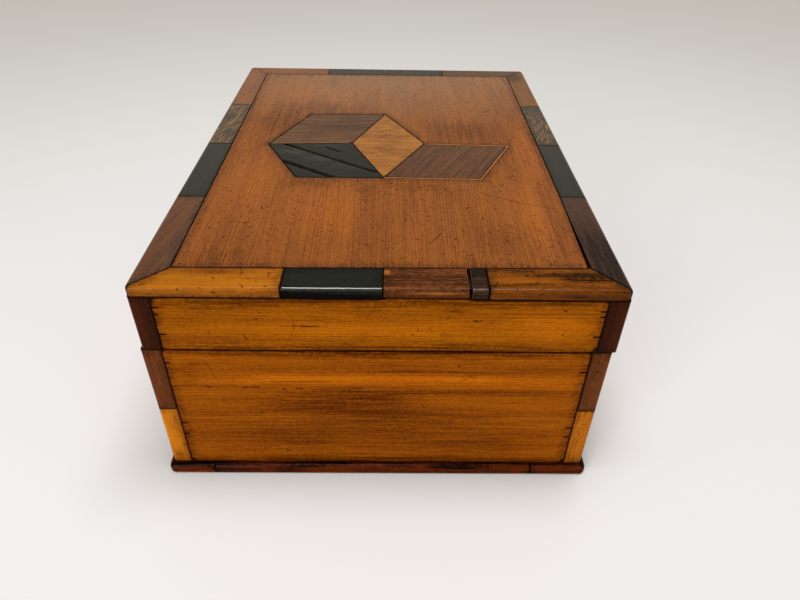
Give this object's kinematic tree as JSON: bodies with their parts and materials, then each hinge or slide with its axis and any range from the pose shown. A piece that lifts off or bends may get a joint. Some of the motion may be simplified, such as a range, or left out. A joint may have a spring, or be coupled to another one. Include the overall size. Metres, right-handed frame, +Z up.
{
  "type": "wooden puzzle box",
  "caption": "Rectangular wooden box with a plinth, a hinged lid with a parquetry rim and cube inlay, a sliding rim block and a hidden bolt.",
  "frame": {"origin": "middle of the underside, on the ground", "axes": "+Z up, +Y from the front, with the sliding block, to the hinged back, +X to the right seen from the front"},
  "size_m": [0.2618, 0.362, 0.1412],
  "materials": {
    "pine": "varnished pine, fine straight grain, glossy with wear",
    "satinwood": "golden satinwood under glossy varnish",
    "rosewood": "dark striped rosewood under varnish",
    "mahogany": "reddish brown mahogany under varnish",
    "ebony": "polished ebony",
    "palmwood": "flecked palmwood under varnish",
    "wenge": "finely striped dark wood, worn",
    "boxwood": "bare boxwood",
    "brass": "aged brass"
  },
  "bodies": {
    "base": {"base_back_board": "pine", "base_back_left_lower_post": "satinwood", "base_back_left_upper_post": "mahogany", "base_back_right_lower_post": "satinwood", "base_back_right_upper_post": "mahogany", "base_front_board": "pine", "base_front_left_lower_post": "satinwood", "base_front_left_upper_post": "mahogany", "base_front_right_lower_post": "satinwood", "base_front_right_upper_post": "mahogany", "base_hinge_leaves": "brass", "base_left_board": "pine", "base_right_board": "pine", "base_screws": "brass", "bolt_hook": "brass", "bottom_board": "pine", "hinge_pins": "brass", "plinth_back": "mahogany", "plinth_front_left": "mahogany", "plinth_front_middle": "mahogany", "plinth_front_right": "mahogany", "plinth_left": "mahogany", "plinth_right": "mahogany"},
    "lid": {"bolt_keepers": "boxwood", "inlay_diamond": "satinwood", "inlay_left_ebony": "ebony", "inlay_left_rosewood": "rosewood", "inlay_right_rosewood": "rosewood", "inlay_string": "satinwood", "key_stop_pin": "brass", "lid_back_board": "pine", "lid_back_left_post": "rosewood", "lid_back_right_post": "rosewood", "lid_front_board": "pine", "lid_front_left_post": "rosewood", "lid_front_right_post": "rosewood", "lid_hinge_leaves": "brass", "lid_left_board": "pine", "lid_panel": "pine", "lid_right_board": "pine", "lid_screws": "brass", "rim_back_brown": "mahogany", "rim_back_dark": "ebony", "rim_back_ebony": "ebony", "rim_back_grey": "mahogany", "rim_front_amber": "satinwood", "rim_front_ebony": "ebony", "rim_front_satinwood": "satinwood", "rim_front_wenge": "wenge", "rim_left_ebony": "ebony", "rim_left_mahogany": "mahogany", "rim_left_palmwood": "palmwood", "rim_left_rosewood": "rosewood", "rim_right_ebony": "ebony", "rim_right_palmwood": "palmwood", "rim_right_rosewood": "rosewood", "rim_right_satinwood": "satinwood"},
    "key_block": {"key_block": "rosewood"},
    "bolt": {"bolt": "boxwood"}
  },
  "joints": [
    {"name": "lid_hinge", "type": "hinge", "parent": "base", "child": "lid", "pos_m": [0, 0.175, 0.0998], "axis": [-1, 0, 0], "range_deg": [0, 98]},
    {"name": "key_block_slide", "type": "slide", "parent": "lid", "child": "key_block", "axis": [0, -1, 0], "range_m": [0, 0.008]},
    {"name": "bolt_slide", "type": "slide", "parent": "lid", "child": "bolt", "axis": [1, 0, 0], "range_m": [0, 0.014]}
  ]
}
